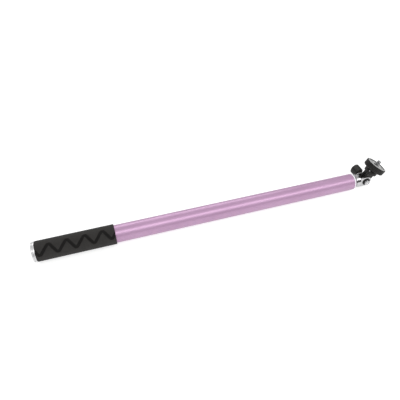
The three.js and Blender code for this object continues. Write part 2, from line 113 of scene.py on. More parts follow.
GAP = 0.3
WALL = 0.8
TUBE_R = 12.5
MID_R = 10.6
INNER_R = 8.7
GRIP_R = 14.17
CAP_R = 14.0
COLLAR_R = 10.3
SHEET = 1.6
EAR_R = 8.2
EAR_INSIDE = 5.3
EAR_OUTSIDE = EAR_INSIDE + SHEET
FORK_R = 6.7
FORK_HALF = 5.0
BOLT_R = 2.5
WASHER_R = 6.2
SPACER_R = 4.8
HUB_BOTTOM = 13.2
HUB_TOP = 20.2
HUB_R = 10.7
WHEEL_BOTTOM = 20.5
WHEEL_TOP = 29.8
WHEEL_R = 16.7
PAD_TOP = 30.1
PAD_R = 15.4
PAD_BORE = 4.6
PAD_RIM = 12.9
PAD_DISH = 1.1
PAD_RECESS = 2.2
STUD_R = 3.175
STUD_TOP = 36.6
STUD_BOTTOM = 12.0

# Each frame's local +Z is the axis that its pieces are turned about.
STICK = Matrix.Rotation(math.pi / 2, 4, "Y")
BOLT = Matrix.Translation(HINGE) @ Matrix.Rotation(-math.pi / 2, 4, "X")
HEAD = Matrix.Translation(HINGE) @ Matrix.Rotation(math.atan2(STUD_AXIS.x, STUD_AXIS.z), 4, "Y")

# ---------- mesh helpers ----------


def piece_from_bmesh(name, shape, place, sharp=35):
    """A new object from a bmesh in millimetres, set in place and shaded smooth by angle."""
    bmesh.ops.remove_doubles(shape, verts=shape.verts, dist=1e-4)
    bmesh.ops.recalc_face_normals(shape, faces=shape.faces)
    mesh = bpy.data.meshes.new(name)
    shape.to_mesh(mesh)
    shape.free()
    mesh.transform(place @ Matrix.Scale(MM, 4))
    mesh.polygons.foreach_set("use_smooth", [True] * len(mesh.polygons))
    mesh.set_sharp_from_angle(angle=math.radians(sharp))
    obj = bpy.data.objects.new(name, mesh)
    bpy.context.scene.collection.objects.link(obj)
    return obj


def rounded(outline, closed=False, steps=5):
    """The outline's points, with each corner that has a corner radius turned into an arc."""
    result = []
    count = len(outline)
    for i, (along, radius, corner) in enumerate(outline):
        here = Vector((along, radius))
        at_end = not closed and i in (0, count - 1)
        if corner == 0 or at_end:
            result.append(tuple(here))
            continue
        before = Vector(outline[i - 1][:2]) - here
        after = Vector(outline[(i + 1) % count][:2]) - here
        half = before.angle(after) / 2
        reach = min(corner / math.tan(half), 0.49 * before.length, 0.49 * after.length)
        arc = reach * math.tan(half)
        middle = (before.normalized() + after.normalized()).normalized()
        centre = here + middle * (arc / math.sin(half))
        first = here + before.normalized() * reach - centre
        last = here + after.normalized() * reach - centre
        sweep = first.angle_signed(last)
        for k in range(steps + 1):
            turned = Matrix.Rotation(-sweep * k / steps, 2) @ first
            result.append(tuple(centre + turned))
    return result


def lathe(outline, sides=96, closed=False, radius_at=None):
    """A bmesh turned about local Z. radius_at(angle, along, radius) can shape the section."""
    points = rounded(outline, closed)
    shape = bmesh.new()
    rings = []
    for along, radius in points:
        if radius < 1e-6:
            rings.append([shape.verts.new((0, 0, along))])
            continue
        ring = []
        for i in range(sides):
            angle = TURN * i / sides
            r = radius_at(angle, along, radius) if radius_at else radius
            ring.append(shape.verts.new((r * math.cos(angle), r * math.sin(angle), along)))
        rings.append(ring)
    pairs = list(zip(rings, rings[1:]))
    if closed:
        pairs.append((rings[-1], rings[0]))
    for low, high in pairs:
        for i in range(sides):
            j = (i + 1) % sides
            corners = [low[i % len(low)], low[j % len(low)], high[j % len(high)], high[i % len(high)]]
            unique = list(dict.fromkeys(corners))
            if len(unique) > 2:
                shape.faces.new(unique)
    return shape


def tube_outline(start, end, inside, outside, corner=0.0):
    return [
        (start, inside, 0),
        (start, outside, corner),
        (end, outside, corner),
        (end, inside, 0),
    ]


def rod(start, end, radius, corner=0.0):
    return [(start, 0, 0), (start, radius, corner), (end, radius, corner), (end, 0, 0)]


def turned(name, outline, place, **options):
    return piece_from_bmesh(name, lathe(outline, **options), place)


def extruded(outline, start, end):
    """A bmesh prism: 2D points in local XY, from z = start to z = end."""
    shape = bmesh.new()
    low = [shape.verts.new((x, y, start)) for x, y in outline]
    high = [shape.verts.new((x, y, end)) for x, y in outline]
    shape.faces.new(low[::-1])
    shape.faces.new(high)
    count = len(outline)
    for i in range(count):
        j = (i + 1) % count
        shape.faces.new((low[i], low[j], high[j], high[i]))
    return shape


def arc_points(x, y, radius, start, end, steps):
    """Points on an arc, angles in degrees."""
    angles = [math.radians(start + (end - start) * k / steps) for k in range(steps + 1)]
    return [(x + radius * math.cos(a), y + radius * math.sin(a)) for a in angles]


MERGE = 0.004  # points closer than this are one, in millimetres


def merge_close_points(mesh):
    """Removes the slivers that boolean and bevel steps leave."""
    shape = bmesh.new()
    shape.from_mesh(mesh)
    bmesh.ops.remove_doubles(shape, verts=shape.verts, dist=MERGE * MM)
    bmesh.ops.dissolve_degenerate(shape, edges=shape.edges, dist=MERGE * MM)
    bmesh.ops.recalc_face_normals(shape, faces=shape.faces)
    shape.to_mesh(mesh)
    shape.free()


def apply_modifiers(obj):
    depsgraph = bpy.context.evaluated_depsgraph_get()
    mesh = bpy.data.meshes.new_from_object(obj.evaluated_get(depsgraph))
    merge_close_points(mesh)
    obj.modifiers.clear()
    old = obj.data
    obj.data = mesh
    bpy.data.meshes.remove(old)
    return obj


def carve(obj, operation, tools):
    """Joins the tools to obj or cuts them from it, and removes them."""
    for tool in tools:
        modifier = obj.modifiers.new("carve", "BOOLEAN")
        modifier.operation = operation
        modifier.solver = "EXACT"
        modifier.object = tool
    apply_modifiers(obj)
    for tool in tools:
        bpy.data.objects.remove(tool)
    return obj


def soften_edges(obj, width, angle=40, segments=3):
    """Rounds the hard edges of a carved piece, in millimetres."""
    modifier = obj.modifiers.new("edges", "BEVEL")
    modifier.width = width * MM
    modifier.segments = segments
    modifier.limit_method = "ANGLE"
    modifier.angle_limit = math.radians(angle)
    modifier.use_clamp_overlap = True
    modifier.harden_normals = False
    apply_modifiers(obj)
    obj.data.polygons.foreach_set("use_smooth", [True] * len(obj.data.polygons))
    obj.data.set_sharp_from_angle(angle=math.radians(35))
    return obj


def finish_piece(obj, body, slot, material, *nodes):
    """Gives a piece its material, sets it on its body's empty and hides the CAD nodes that it takes the
    place of.
    """
    obj.data.materials.clear()
    obj.data.materials.append(material)
    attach(obj, body)
    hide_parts(*nodes)
    return obj


# ---------- materials ----------


class Nodes:
    """Short calls for building one material's node tree."""

    def __init__(self, name):
        self.material = bpy.data.materials.new(name)
        self.material.use_nodes = True
        self.tree = self.material.node_tree
        self.shader = self.tree.nodes["Principled BSDF"]
        self.place = self.add("ShaderNodeTexCoord").outputs["Object"]

    def add(self, kind, **values):
        node = self.tree.nodes.new(kind)
        for key, value in values.items():
            setattr(node, key, value)
        return node

    def link(self, source, target):
        self.tree.links.new(source, target)

    def set(self, **values):
        for key, value in values.items():
            self.shader.inputs[key.replace("_", " ")].default_value = value

    def noise(self, scale, detail=2.0, roughness=0.5, stretch=(1, 1, 1)):
        mapping = self.add("ShaderNodeMapping")
        mapping.inputs["Scale"].default_value = stretch
        self.link(self.place, mapping.inputs["Vector"])
        noise = self.add("ShaderNodeTexNoise")
        noise.inputs["Scale"].default_value = scale
        noise.inputs["Detail"].default_value = detail
        noise.inputs["Roughness"].default_value = roughness
        self.link(mapping.outputs["Vector"], noise.inputs["Vector"])
        return noise.outputs["Fac"]

    def cells(self, scale):
        cells = self.add("ShaderNodeTexVoronoi")
        cells.inputs["Scale"].default_value = scale
        self.link(self.place, cells.inputs["Vector"])
        return cells

    def ramp(self, source, *stops):
        """A colour ramp from (position, colour) stops."""
        ramp = self.add("ShaderNodeValToRGB")
        elements = ramp.color_ramp.elements
        while len(elements) < len(stops):
            elements.new(0.5)
        for element, (position, color) in zip(elements, stops):
            element.position = position
            element.color = (*color, 1)
        self.link(source, ramp.inputs["Fac"])
        return ramp.outputs["Color"]

    def between(self, source, low, high, start=0.0, end=1.0):
        """The source's start to end stretched over low to high."""
        node = self.add("ShaderNodeMapRange")
        node.inputs["From Min"].default_value = start
        node.inputs["From Max"].default_value = end
        node.inputs["To Min"].default_value = low
        node.inputs["To Max"].default_value = high
        self.link(source, node.inputs["Value"])
        return node.outputs["Result"]

    def mix(self, factor, first, second):
        node = self.add("ShaderNodeMix", data_type="RGBA")
        for socket, value in ((node.inputs[0], factor), (node.inputs[6], first), (node.inputs[7], second)):
            if isinstance(value, (int, float)):
                socket.default_value = value
            elif isinstance(value, tuple):
                socket.default_value = (*value, 1)
            else:
                self.link(value, socket)
        return node.outputs[2]

    def bump(self, height, strength, distance_mm, onto=None):
        node = self.add("ShaderNodeBump")
        node.inputs["Strength"].default_value = strength
        node.inputs["Distance"].default_value = distance_mm * MM
        self.link(height, node.inputs["Height"])
        if onto is not None:
            self.link(onto, node.inputs["Normal"])
        return node.outputs["Normal"]

    def color(self, source):
        self.link(source, self.shader.inputs["Base Color"])

    def roughness(self, source):
        self.link(source, self.shader.inputs["Roughness"])

    def normal(self, source):
        self.link(source, self.shader.inputs["Normal"])


def lacquer_material():
    """Pink-violet pearl lacquer: fine flake under a clear coat, with a faint mottling."""
    m = Nodes("pearl_lacquer")
    flake = m.cells(2600)
    cloud = m.noise(55, detail=4, stretch=(0.35, 1, 1))
    base = m.ramp(cloud, (0.3, (0.46, 0.275, 0.425)), (0.7, (0.505, 0.31, 0.47)))
    spark = m.ramp(flake.outputs["Color"], (0.0, (0.34, 0.18, 0.34)), (1.0, (0.66, 0.44, 0.66)))
    m.color(m.mix(0.2, base, spark))
    m.roughness(m.between(m.noise(900, detail=2), 0.36, 0.46))
    m.normal(m.bump(m.noise(420, detail=3), 0.08, 0.04))
    m.set(Metallic=0.4, Coat_Weight=0.4, Coat_Roughness=0.25)
    return m.material


def foam_material():
    """Closed-cell foam, dull and finely pored. The pressed groove is painted much darker: painted shade in
    the recess, over the pressed skin's own darker tone.
    """
    m = Nodes("grip_foam")
    groove = m.add("ShaderNodeAttribute", attribute_name="groove").outputs["Fac"]
    pores = m.noise(2300, detail=3, roughness=0.6)
    patches = m.noise(120, detail=3)
    skin = m.ramp(patches, (0.3, (0.020, 0.0188, 0.0178)), (0.7, (0.026, 0.0245, 0.0232)))
    speckled = m.mix(m.between(pores, 0.0, 0.45, 0.45, 0.75), skin, (0.042, 0.04, 0.038))
    # Painted shade: the groove layer darkens the foam colour inside the pressed groove.
    m.color(m.mix(groove, speckled, (0.006, 0.0055, 0.005)))
    m.roughness(m.between(pores, 0.82, 0.98))
    fine = m.bump(pores, 0.35, 0.12)
    m.normal(m.bump(m.noise(700, detail=2), 0.3, 0.2, onto=fine))
    m.set(Sheen_Weight=0.04, Sheen_Roughness=0.6, Specular_IOR_Level=0.2)
    return m.material


def chrome_material(name, dark, light, rough):
    """Plated metal, a little wavy, with an uneven film."""
    m = Nodes(name)
    m.color(m.ramp(m.noise(260, detail=3), (0.3, dark), (0.7, light)))
    m.roughness(m.between(m.noise(180, detail=4), *rough))
    m.normal(m.bump(m.noise(90, detail=2), 0.05, 0.05))
    m.set(Metallic=1.0)
    return m.material


def steel_material():
    """Zinc-plated steel with fine turning marks."""
    m = Nodes("plated_steel")
    grain = m.noise(1400, detail=3)
    m.color(m.ramp(grain, (0.25, (0.27, 0.27, 0.275)), (0.75, (0.42, 0.42, 0.43))))
    m.roughness(m.between(m.noise(600, detail=3), 0.18, 0.3))
    m.normal(m.bump(grain, 0.1, 0.04))
    m.set(Metallic=1.0)
    return m.material


def bare_tube_material():
    """Drawn aluminium with fine lines along the tube."""
    m = Nodes("drawn_aluminium")
    lines = m.noise(700, detail=4, stretch=(0.02, 1, 1))
    m.color(m.ramp(lines, (0.25, (0.60, 0.60, 0.61)), (0.75, (0.74, 0.74, 0.75))))
    m.roughness(m.between(lines, 0.22, 0.36))
    m.normal(m.bump(lines, 0.08, 0.04))
    m.set(Metallic=1.0)
    return m.material


def plastic_material(name, dark, light, rough, grain_mm=0.05):
    """Moulded plastic with a fine spark-eroded grain and slightly uneven gloss."""
    m = Nodes(name)
    grain = m.noise(1500, detail=3)
    m.color(m.ramp(m.noise(240, detail=3), (0.3, dark), (0.7, light)))
    m.roughness(m.between(m.noise(300, detail=4), rough[0], rough[1]))
    m.normal(m.bump(grain, 0.25, grain_mm))
    m.set(Specular_IOR_Level=0.35)
    return m.material


def pad_material():
    """Pale rubber, slightly dusty, with painted shade on the raised ring's inner edge and wall."""
    m = Nodes("pad_rubber")
    rim_painted_shade = m.add("ShaderNodeAttribute", attribute_name="rim_painted_shade").outputs["Fac"]
    dust = m.ramp(m.noise(240, detail=3), (0.3, (0.36, 0.36, 0.36)), (0.7, (0.46, 0.46, 0.455)))
    # Painted shade: the rim's inner edge and wall are painted near black.
    m.color(m.mix(rim_painted_shade, dust, (0.02, 0.02, 0.02)))
    m.roughness(m.between(m.noise(300, detail=4), 0.45, 0.6))
    m.normal(m.bump(m.noise(900, detail=3), 0.25, 0.04))
    m.set(Specular_IOR_Level=0.4)
    return m.material


def brass_material():
    m = Nodes("turned_brass")
    grain = m.noise(900, detail=3)
    m.color(m.ramp(grain, (0.3, (0.50, 0.34, 0.12)), (0.7, (0.62, 0.44, 0.17))))
    m.roughness(m.between(grain, 0.25, 0.4))
    m.set(Metallic=1.0)
    return m.material


LACQUER = lacquer_material()
FOAM = foam_material()
CHROME = chrome_material("bright_chrome", (0.62, 0.62, 0.63), (0.74, 0.74, 0.75), (0.1, 0.18))
CAP_METAL = chrome_material("cap_metal", (0.86, 0.86, 0.865), (0.93, 0.93, 0.935), (0.42, 0.5))
STEEL = steel_material()
PIN_STEEL = chrome_material("pin_steel", (0.66, 0.66, 0.67), (0.8, 0.8, 0.81), (0.35, 0.45))
BARE_TUBE = bare_tube_material()
BLACK = plastic_material("black_plastic", (0.011, 0.0105, 0.010), (0.017, 0.016, 0.0155), (0.34, 0.46))
LOCK_BLACK = plastic_material("lock_plastic", (0.01, 0.01, 0.01), (0.016, 0.016, 0.016), (0.5, 0.65))
WHITE = plastic_material("white_plastic", (0.74, 0.70, 0.76), (0.80, 0.77, 0.82), (0.25, 0.35), 0.02)
BRASS = brass_material()
PAD = pad_material()

# ---------- handle ----------


def outer_tube():
    outline = tube_outline(TUBE_START, TUBE_END, TUBE_R - WALL, TUBE_R, corner=0.25)
    obj = turned("outer_tube_fine", outline, STICK, sides=160, closed=True)
    return finish_piece(obj, "handle", "lacquer", LACQUER, "outer_tube")


# The groove runs round the grip's camera side. Angles are from -Y up to +Z, in degrees.
ZIGZAG_PERIOD = 23.7
ZIGZAG_FIRST = 5.2  # from the grip's rear end to the first low point
ZIGZAG_LEAN = 13.1  # from a low point to the next high point
ZIGZAG_LOW = 14.0
ZIGZAG_HIGH = 80.0
ZIGZAG_ROUND = 0.1  # share of a stretch that its corners' rounding takes
ZIGZAG_DRIFT = 1.3  # the line climbs this much with each period
GROOVE_WIDTH = 4.2
GROOVE_EDGE = 0.8
GROOVE_DEPTH = 1.0
ZIGZAG_SIDES = 2  # the far side of the grip has the same line


def zigzag_points():
    """The groove's corners as (along the grip, arc length round it), in millimetres."""
    points = []
    for k in range(-1, 6):
        low = ZIGZAG_FIRST + k * ZIGZAG_PERIOD
        drift = k * ZIGZAG_DRIFT
        points.append((low, math.radians(ZIGZAG_LOW + drift) * GRIP_R))
        points.append((low + ZIGZAG_LEAN, math.radians(ZIGZAG_HIGH + drift) * GRIP_R))
    return cut_corners(cut_corners(points, ZIGZAG_ROUND), ZIGZAG_ROUND)


def cut_corners(points, share):
    """Each stretch loses this share of itself at both ends, which blunts the corners."""
    result = [points[0]]
    for (a0, s0), (a1, s1) in zip(points, points[1:]):
        da, ds = share * (a1 - a0), share * (s1 - s0)
        result += [(a0 + da, s0 + ds), (a1 - da, s1 - ds)]
    return result + [points[-1]]


def groove_amount(along, arc):
    """1 in the groove and 0 outside it, for arrays of places on the unrolled grip."""
    nearest = np.full(along.shape, 1e9)
    girth = TURN * GRIP_R
    points = zigzag_points()
    for (a0, s0), (a1, s1) in zip(points, points[1:]):
        for side in range(-1, ZIGZAG_SIDES + 1):
            shift = side * girth / ZIGZAG_SIDES
            da, ds = a1 - a0, s1 - s0
            t = ((along - a0) * da + (arc - s0 - shift) * ds) / (da * da + ds * ds)
            t = np.clip(t, 0, 1)
            distance = np.hypot(along - a0 - t * da, arc - s0 - shift - t * ds)
            nearest = np.minimum(nearest, distance)
    edge = (nearest - (GROOVE_WIDTH - GROOVE_EDGE) / 2) / GROOVE_EDGE
    edge = np.clip(edge, 0, 1)
    return 1 - edge * edge * (3 - 2 * edge)


def grip():
    """The foam sleeve, with the pressed zigzag as real depth in its mesh."""
    sides = 240
    length = GRIP_END - GRIP_START
    corner = 1.3
    inside = TUBE_R + 0.05
    profile = [(0, inside)] + rounded([(0, inside, 0), (0, GRIP_R, corner), (length / 2, GRIP_R, 0)])[1:-1]
    steps = 260
    flat = [corner + (length - 2 * corner) * k / steps for k in range(1, steps)]
    profile += [(a, GRIP_R) for a in flat]
    profile += [(length - a, r) for a, r in reversed(profile[: -len(flat)])]
    # The arc round the grip starts at -Y and climbs towards +Z.
    angles = np.arange(sides) * TURN / sides
    along = np.array([a for a, _ in profile])
    radius = np.array([r for _, r in profile])
    grid_along, grid_angle = np.meshgrid(along, angles, indexing="ij")
    amount = groove_amount(grid_along, grid_angle * GRIP_R)
    surface = (radius > GRIP_R - 0.6)[:, None]
    amount = np.where(surface, amount, 0)
    depth = radius[:, None] - GROOVE_DEPTH * amount
    shape = bmesh.new()
    # The groove layer marks where the foam material paints shade into the groove.
    value = shape.verts.layers.float.new("groove")
    rings = []
    for i in range(len(profile)):
        ring = []
        for j in range(sides):
            r, angle = depth[i, j], angles[j]
            vertex = shape.verts.new((GRIP_START + along[i], -r * math.cos(angle), r * math.sin(angle)))
            vertex[value] = amount[i, j]
            ring.append(vertex)
        rings.append(ring)
    for low, high in zip(rings, rings[1:] + rings[:1]):
        for j in range(sides):
            k = (j + 1) % sides
            shape.faces.new((low[j], low[k], high[k], high[j]))
    obj = piece_from_bmesh("grip_foam_sleeve", shape, Matrix.Identity(4), sharp=60)
    finish_piece(obj, "handle", "foam", FOAM, "grip_sleeve")
    return obj


CAP_SPIGOT_END = GRIP_START + 9.8
CAP_SPIGOT_WALL = 2.0
BUSH_SKIRT = 12.0


def end_cap():
    """Chrome cap: a flat face with a low domed edge, a shallow ring groove, and its spigot."""
    spigot = TUBE_R - WALL - GAP
    outline = [
        (CAP_START, 0, 0),
        (CAP_START, 8.2, 0.1),
        (CAP_START + 0.35, 8.5, 0.1),
        (CAP_START + 0.35, 9.1, 0.1),
        (CAP_START, 9.4, 0.1),
        (CAP_START, CAP_R, 1.4),
        (RING_START - GAP, CAP_R, 0.2),
        (RING_START - GAP, spigot, 0),
        (CAP_SPIGOT_END, spigot, 0.3),
        (CAP_SPIGOT_END, spigot - CAP_SPIGOT_WALL, 0),
        (RING_START, spigot - CAP_SPIGOT_WALL, 0),
        (RING_START, 0, 0),
    ]
    obj = turned("end_cap_fine", outline, STICK, sides=128)
    return finish_piece(obj, "handle", "chrome", CAP_METAL, "end_cap")


def end_ring():
    outline = [
        (RING_START, TUBE_R - WALL, 0),
        (RING_START, CAP_R + 0.1, 0.25),
        (RING_END, CAP_R + 0.1, 0.25),
        (RING_END, TUBE_R - WALL, 0),
    ]
    obj = turned("end_ring_fine", outline, STICK, sides=128, closed=True)
    return finish_piece(obj, "handle", "chrome", CAP_METAL, "end_ring")


def guide_bush(name, node, body, slot, material, tube_end, end, tube_radius, inner_radius):
    bore = inner_radius + GAP
    skirt = tube_radius - WALL - GAP
    start = tube_end + GAP
    outline = [
        (tube_end - BUSH_SKIRT, bore, 0),
        (tube_end - BUSH_SKIRT, skirt, 0.15),
        (start, skirt, 0),
        (start, tube_radius - 0.1, 0.2),
        (end, tube_radius - 0.1, 0.8),
        (end, bore, 0.25),
    ]
    obj = turned(name, outline, STICK, sides=128, closed=True)
    return finish_piece(obj, body, slot, material, node)


# ---------- sliding tubes ----------


def sliding_tube(name, node, body, start, end, radius):
    outline = tube_outline(start, end, radius - WALL, radius, corner=0.2)
    obj = turned(name, outline, STICK, sides=128, closed=True)
    return finish_piece(obj, body, "bare_tube", BARE_TUBE, node)


# ---------- collar and bracket ----------

COLLAR_START = INNER_END + GAP
SET_SCREW_X = COLLAR_START + 4.4
SET_SCREW_TURN = math.radians(-15)
SET_SCREW_R = 1.05
SET_SCREW_HEX = 1.1
SET_SCREW_BOTTOM = 3.8
SET_SCREW_HOLE_R = 1.2
SET_SCREW_HOLE_BOTTOM = 3.4
COLLAR_SPIGOT = 15.0
COLLAR_BORE_DEPTH = 8.0
BRACKET_SCREW_R = 2.0


def hexagon_pit(across_flats, start, end):
    """A hexagonal tool about local Z, for cutting a screw's socket."""
    corner = across_flats / math.sqrt(3)
    outline = [(corner * math.cos(TURN * k / 6), corner * math.sin(TURN * k / 6)) for k in range(6)]
    return extruded(outline, start, end)


def head_collar():
    spigot = INNER_R - WALL - GAP
    outline = [
        (COLLAR_START - COLLAR_SPIGOT, 0, 0),
        (COLLAR_START - COLLAR_SPIGOT, spigot, 0.6),
        (COLLAR_START, spigot, 0),
        (COLLAR_START, COLLAR_R, 0.35),
        (COLLAR_START + 2.2, COLLAR_R, 0.1),
        (COLLAR_START + 2.5, COLLAR_R - 0.35, 0.1),
        (COLLAR_START + 2.9, COLLAR_R - 0.35, 0.1),
        (COLLAR_START + 3.2, COLLAR_R, 0.1),
        (COLLAR_END, COLLAR_R, 0.8),
        (COLLAR_END, BRACKET_SCREW_R + GAP, 0),
        (COLLAR_END - COLLAR_BORE_DEPTH, BRACKET_SCREW_R + GAP, 0),
        (COLLAR_END - COLLAR_BORE_DEPTH, 0, 0),
    ]
    obj = turned("head_collar_fine", outline, STICK, sides=128)
    place = screw_place()
    bore = rod(SET_SCREW_HOLE_BOTTOM, COLLAR_R + 1.7, SET_SCREW_HOLE_R)
    hole = turned("hole", bore, place, sides=32)
    carve(obj, "DIFFERENCE", [hole])
    obj.data.polygons.foreach_set("use_smooth", [True] * len(obj.data.polygons))
    obj.data.set_sharp_from_angle(angle=math.radians(30))
    return finish_piece(obj, "inner_stage", "chrome", CHROME, "head_collar")


def screw_place():
    turn = Matrix.Rotation(SET_SCREW_TURN, 4, "X")
    return turn @ Matrix.Translation((SET_SCREW_X * MM, 0, 0))


def collar_set_screw():
    place = screw_place()
    top = COLLAR_R - 0.4
    outline = [
        (SET_SCREW_BOTTOM, 0, 0),
        (SET_SCREW_BOTTOM, SET_SCREW_R, 0.2),
        (top, SET_SCREW_R, 0.15),
        (top, 0, 0),
    ]
    obj = turned("collar_set_screw_fine", outline, place, sides=32)
    pit = piece_from_bmesh("pit", hexagon_pit(SET_SCREW_HEX, top - 1.2, top + 1), place)
    carve(obj, "DIFFERENCE", [pit])
    obj.data.set_sharp_from_angle(angle=math.radians(30))
    return finish_piece(obj, "inner_stage", "steel", STEEL, "collar_set_screw")


def head_bracket():
    """One bent sheet: a base on the collar and two round-ended ears, with softened edges."""
    bend = 2.2
    inner_bend = bend - SHEET
    face = BRACKET_START + SHEET
    hinge_x = HINGE.x / MM
    front = hinge_x + EAR_R + 1
    sheet = [(front, -EAR_OUTSIDE), (front, -EAR_INSIDE)]
    sheet += arc_points(face + inner_bend, -EAR_INSIDE + inner_bend, inner_bend, 270, 180, 6)
    sheet += arc_points(face + inner_bend, EAR_INSIDE - inner_bend, inner_bend, 180, 90, 6)
    sheet += [(front, EAR_INSIDE), (front, EAR_OUTSIDE)]
    sheet += arc_points(BRACKET_START + bend, EAR_OUTSIDE - bend, bend, 90, 180, 8)
    sheet += arc_points(BRACKET_START + bend, -EAR_OUTSIDE + bend, bend, 180, 270, 8)
    upright = Matrix.Identity(4)
    obj = piece_from_bmesh("head_bracket_fine", extruded(sheet, -EAR_R - 1, EAR_R + 1), upright)
    side = [(BRACKET_START - 1, -EAR_R)]
    side += arc_points(hinge_x, 0, EAR_R, -90, 90, 40)
    side += [(BRACKET_START - 1, EAR_R)]
    across = Matrix.Rotation(math.pi / 2, 4, "X")
    width = EAR_OUTSIDE + 1
    outline = piece_from_bmesh("outline", extruded(side, -width, width), across)
    carve(obj, "INTERSECT", [outline])
    bolt_hole = turned("hole", rod(-width, width, BOLT_R + GAP), BOLT, sides=48)
    base_hole = turned("hole", rod(BRACKET_START - 1, face + 1, BRACKET_SCREW_R + GAP), STICK, sides=32)
    carve(obj, "DIFFERENCE", [bolt_hole, base_hole])
    soften_edges(obj, 0.32)
    return finish_piece(obj, "inner_stage", "chrome", CHROME, "head_bracket")


PAN_HEAD_R = 3.6
RECESS_REACH = 1.7
RECESS_HALF = 0.35
RECESS_DEPTH = 0.6


def bracket_screw():
    """Pan head with a cross recess, seen between the ears."""
    head_start = BRACKET_START + SHEET + GAP
    head_end = box_mm("bracket_screw")[1].x
    tip = box_mm("bracket_screw")[0].x
    outline = [
        (tip, 0, 0),
        (tip, BRACKET_SCREW_R, 0.5),
        (head_start, BRACKET_SCREW_R, 0),
        (head_start, PAN_HEAD_R, 0.2),
        (head_end, PAN_HEAD_R - 0.2, 0.8),
        (head_end, 0, 0),
    ]
    obj = turned("bracket_screw_fine", outline, STICK, sides=48)
    pits = []
    for turn in (0, 90):
        blade = [
            (-RECESS_REACH, -RECESS_HALF),
            (RECESS_REACH, -RECESS_HALF),
            (RECESS_REACH, RECESS_HALF),
            (-RECESS_REACH, RECESS_HALF),
        ]
        place = STICK @ Matrix.Rotation(math.radians(turn), 4, "Z")
        cutter = extruded(blade, head_end - RECESS_DEPTH, head_end + 1)
        pits.append(piece_from_bmesh("pit", cutter, place))
    carve(obj, "DIFFERENCE", pits)
    obj.data.set_sharp_from_angle(angle=math.radians(30))
    return finish_piece(obj, "inner_stage", "steel", STEEL, "bracket_screw")


# ---------- cross bolt ----------


BOLT_HEAD_R = 4.6  # to the corners of the hexagon
BOLT_HEAD_HEIGHT = 2.8


def hinge_bolt():
    """Hex head with a chamfered face and a shallow dimple, and its shank."""
    head_end = BOLT_START + BOLT_HEAD_HEIGHT
    flat_half = BOLT_HEAD_R * math.cos(math.pi / 6)
    angles = [TURN * (k + 0.5) / 6 for k in range(6)]
    outline = [(BOLT_HEAD_R * math.cos(a), BOLT_HEAD_R * math.sin(a)) for a in angles]
    obj = piece_from_bmesh("hinge_bolt_fine", extruded(outline, BOLT_START, head_end), BOLT)
    cone = [
        (BOLT_START, 0, 0),
        (BOLT_START, flat_half - 0.1, 0),
        (BOLT_START + 0.55, BOLT_HEAD_R + 0.1, 0),
        (head_end + 1, BOLT_HEAD_R + 0.1, 0),
        (head_end + 1, 0, 0),
    ]
    carve(obj, "INTERSECT", [turned("cone", cone, BOLT, sides=96)])
    shank = turned("shank", rod(head_end - 0.5, BOLT_END, BOLT_R, 0.5), BOLT, sides=48)
    carve(obj, "UNION", [shank])
    floor_y = BOLT_START + 0.45
    dimple = [(BOLT_START - 1, 0, 0), (BOLT_START - 1, 1.9, 0), (floor_y, 1.3, 0), (floor_y, 0, 0)]
    carve(obj, "DIFFERENCE", [turned("dimple", dimple, BOLT, sides=48)])
    soften_edges(obj, 0.12, angle=25, segments=2)
    return finish_piece(obj, "inner_stage", "chrome", CHROME, "hinge_bolt")


def hinge_washer(name, node):
    start, end = y_span(node)
    outline = tube_outline(start, end, BOLT_R + GAP, WASHER_R, corner=0.3)
    obj = turned(name, outline, BOLT, sides=72, closed=True)
    return finish_piece(obj, "inner_stage", "lock_plastic", LOCK_BLACK, node)


def knob_spacer():
    """Plastic boss between the bracket and the knob."""
    outline = [
        (SPACER_START, BOLT_R + GAP, 0),
        (SPACER_START, SPACER_R, 0.3),
        (SPACER_START + 1.8, SPACER_R, 0.1),
        (SPACER_START + 2.1, SPACER_R - 0.25, 0.1),
        (SPACER_START + 2.5, SPACER_R - 0.25, 0.1),
        (SPACER_START + 2.8, SPACER_R, 0.1),
        (SPACER_END - 1.0, SPACER_R, 0.4),
        (SPACER_END, SPACER_R - 0.5, 0.2),
        (SPACER_END, BOLT_R + GAP, 0),
    ]
    obj = turned("knob_spacer_fine", outline, BOLT, sides=72, closed=True)
    return finish_piece(obj, "inner_stage", "head_plastic", BLACK, "knob_spacer")


# ---------- knob ----------

KNOB_R = 7.0
KNOB_WING = 1.2
KNOB_TURN = math.radians(58)
KNOB_POCKET_R = 4.1
KNOB_POCKET_DEPTH = 9.9
INSERT_R = 3.8
KNOB_SHARPNESS = 3.2  # 2 is a plain oval; more narrows the wings and hollows their flanks


def knob_radius(angle, along, radius):
    """Two wings on a round middle. They fade towards the axis, so that the ends close as discs."""
    wing = KNOB_WING * (2 * abs(math.cos(angle + KNOB_TURN)) ** KNOB_SHARPNESS - 1)
    return radius + wing * min(1, max(0, (radius - 4.0) / 1.6))


def tilt_knob():
    start, end = KNOB_START, KNOB_END
    outline = [
        (start + KNOB_POCKET_DEPTH, 0, 0),
        (start + KNOB_POCKET_DEPTH, KNOB_POCKET_R, 0),
        (start, KNOB_POCKET_R, 0.2),
        (start, KNOB_R - 0.8, 0.5),
        (start + 1.0, KNOB_R - 0.1, 0.6),
        (end - 1.9, KNOB_R, 0.9),
        (end, KNOB_R - 1.6, 0.6),
        (end, 4.0, 0.2),
        (end - 0.5, 3.6, 0.2),
        (end - 0.5, 0, 0),
    ]
    obj = turned("tilt_knob_fine", outline, BOLT, sides=144, radius_at=knob_radius)
    return finish_piece(obj, "knob", "head_plastic", BLACK, "tilt_knob")


def knob_insert():
    start, end = y_span("knob_insert")
    outline = tube_outline(start, end, BOLT_R + GAP, INSERT_R, corner=0.2)
    obj = turned("knob_insert_fine", outline, BOLT, sides=60, closed=True)
    return finish_piece(obj, "knob", "brass", BRASS, "knob_insert")


# ---------- head ----------

PIN_HEIGHT = 17.6
PIN_TURN = math.radians(-151)
PIN_R = 1.0
PIN_BACK = 6.0  # how far the pin reaches past the stud's axis
FORK_SLOT = 4.4
FORK_SLOT_TOP = 11.0


